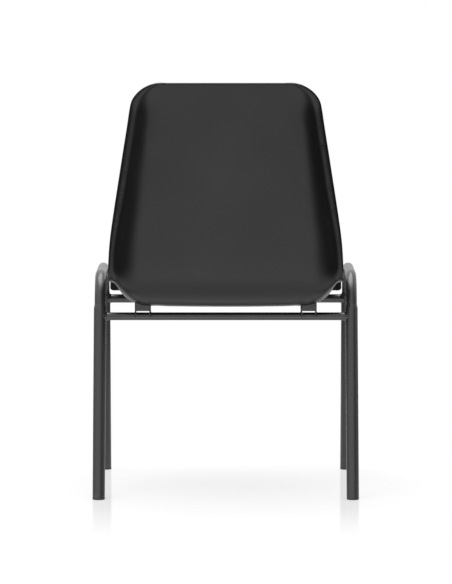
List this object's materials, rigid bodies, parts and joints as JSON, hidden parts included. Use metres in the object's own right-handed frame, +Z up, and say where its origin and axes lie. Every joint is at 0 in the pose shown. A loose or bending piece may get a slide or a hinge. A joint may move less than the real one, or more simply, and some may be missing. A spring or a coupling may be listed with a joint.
{
  "type": "choir chair",
  "caption": "Stacking choir chair: one-piece dished shell with rolled edges, screwed to a frame of bent steel tube with splayed legs and cross rails.",
  "frame": {"origin": "floor level, under the middle of the chair's outline", "axes": "+Z up, the sitter faces -Y, +X is the sitter's left"},
  "size_m": [0.537, 0.5292, 0.8408],
  "materials": {
    "shell_plastic": "fine moulded grain, low sheen",
    "frame_coat": "satin powder coat on steel tube",
    "rail_coat": "satin powder coat on steel tube",
    "bracket_coat": "satin powder coat on pressed steel",
    "weld_coat": "powder coat over a rippled weld bead",
    "glide_plastic": "moulded, scuffed underneath",
    "screw_steel": "zinc plated",
    "washer_steel": "zinc plated",
    "insert_brass": "plain turned brass"
  },
  "bodies": {
    "root": {"seat_shell": "shell_plastic", "side_hoop_left": "frame_coat", "side_hoop_right": "frame_coat", "rear_leg_left": "frame_coat", "rear_leg_right": "frame_coat", "front_leg_left": "frame_coat", "front_leg_right": "frame_coat", "rear_glide_left": "glide_plastic", "rear_glide_right": "glide_plastic", "front_glide_left": "glide_plastic", "front_glide_right": "glide_plastic", "rear_bracket_left": "bracket_coat", "rear_bracket_right": "bracket_coat", "front_bracket_left": "bracket_coat", "front_bracket_right": "bracket_coat", "rear_rail": "rail_coat", "front_rail": "rail_coat", "rear_rail_welds": "weld_coat", "front_rail_welds": "weld_coat", "rear_screws": "screw_steel", "front_screws": "screw_steel", "rear_washers": "washer_steel", "front_washers": "washer_steel", "rear_inserts": "insert_brass", "front_inserts": "insert_brass"}
  },
  "joints": []
}
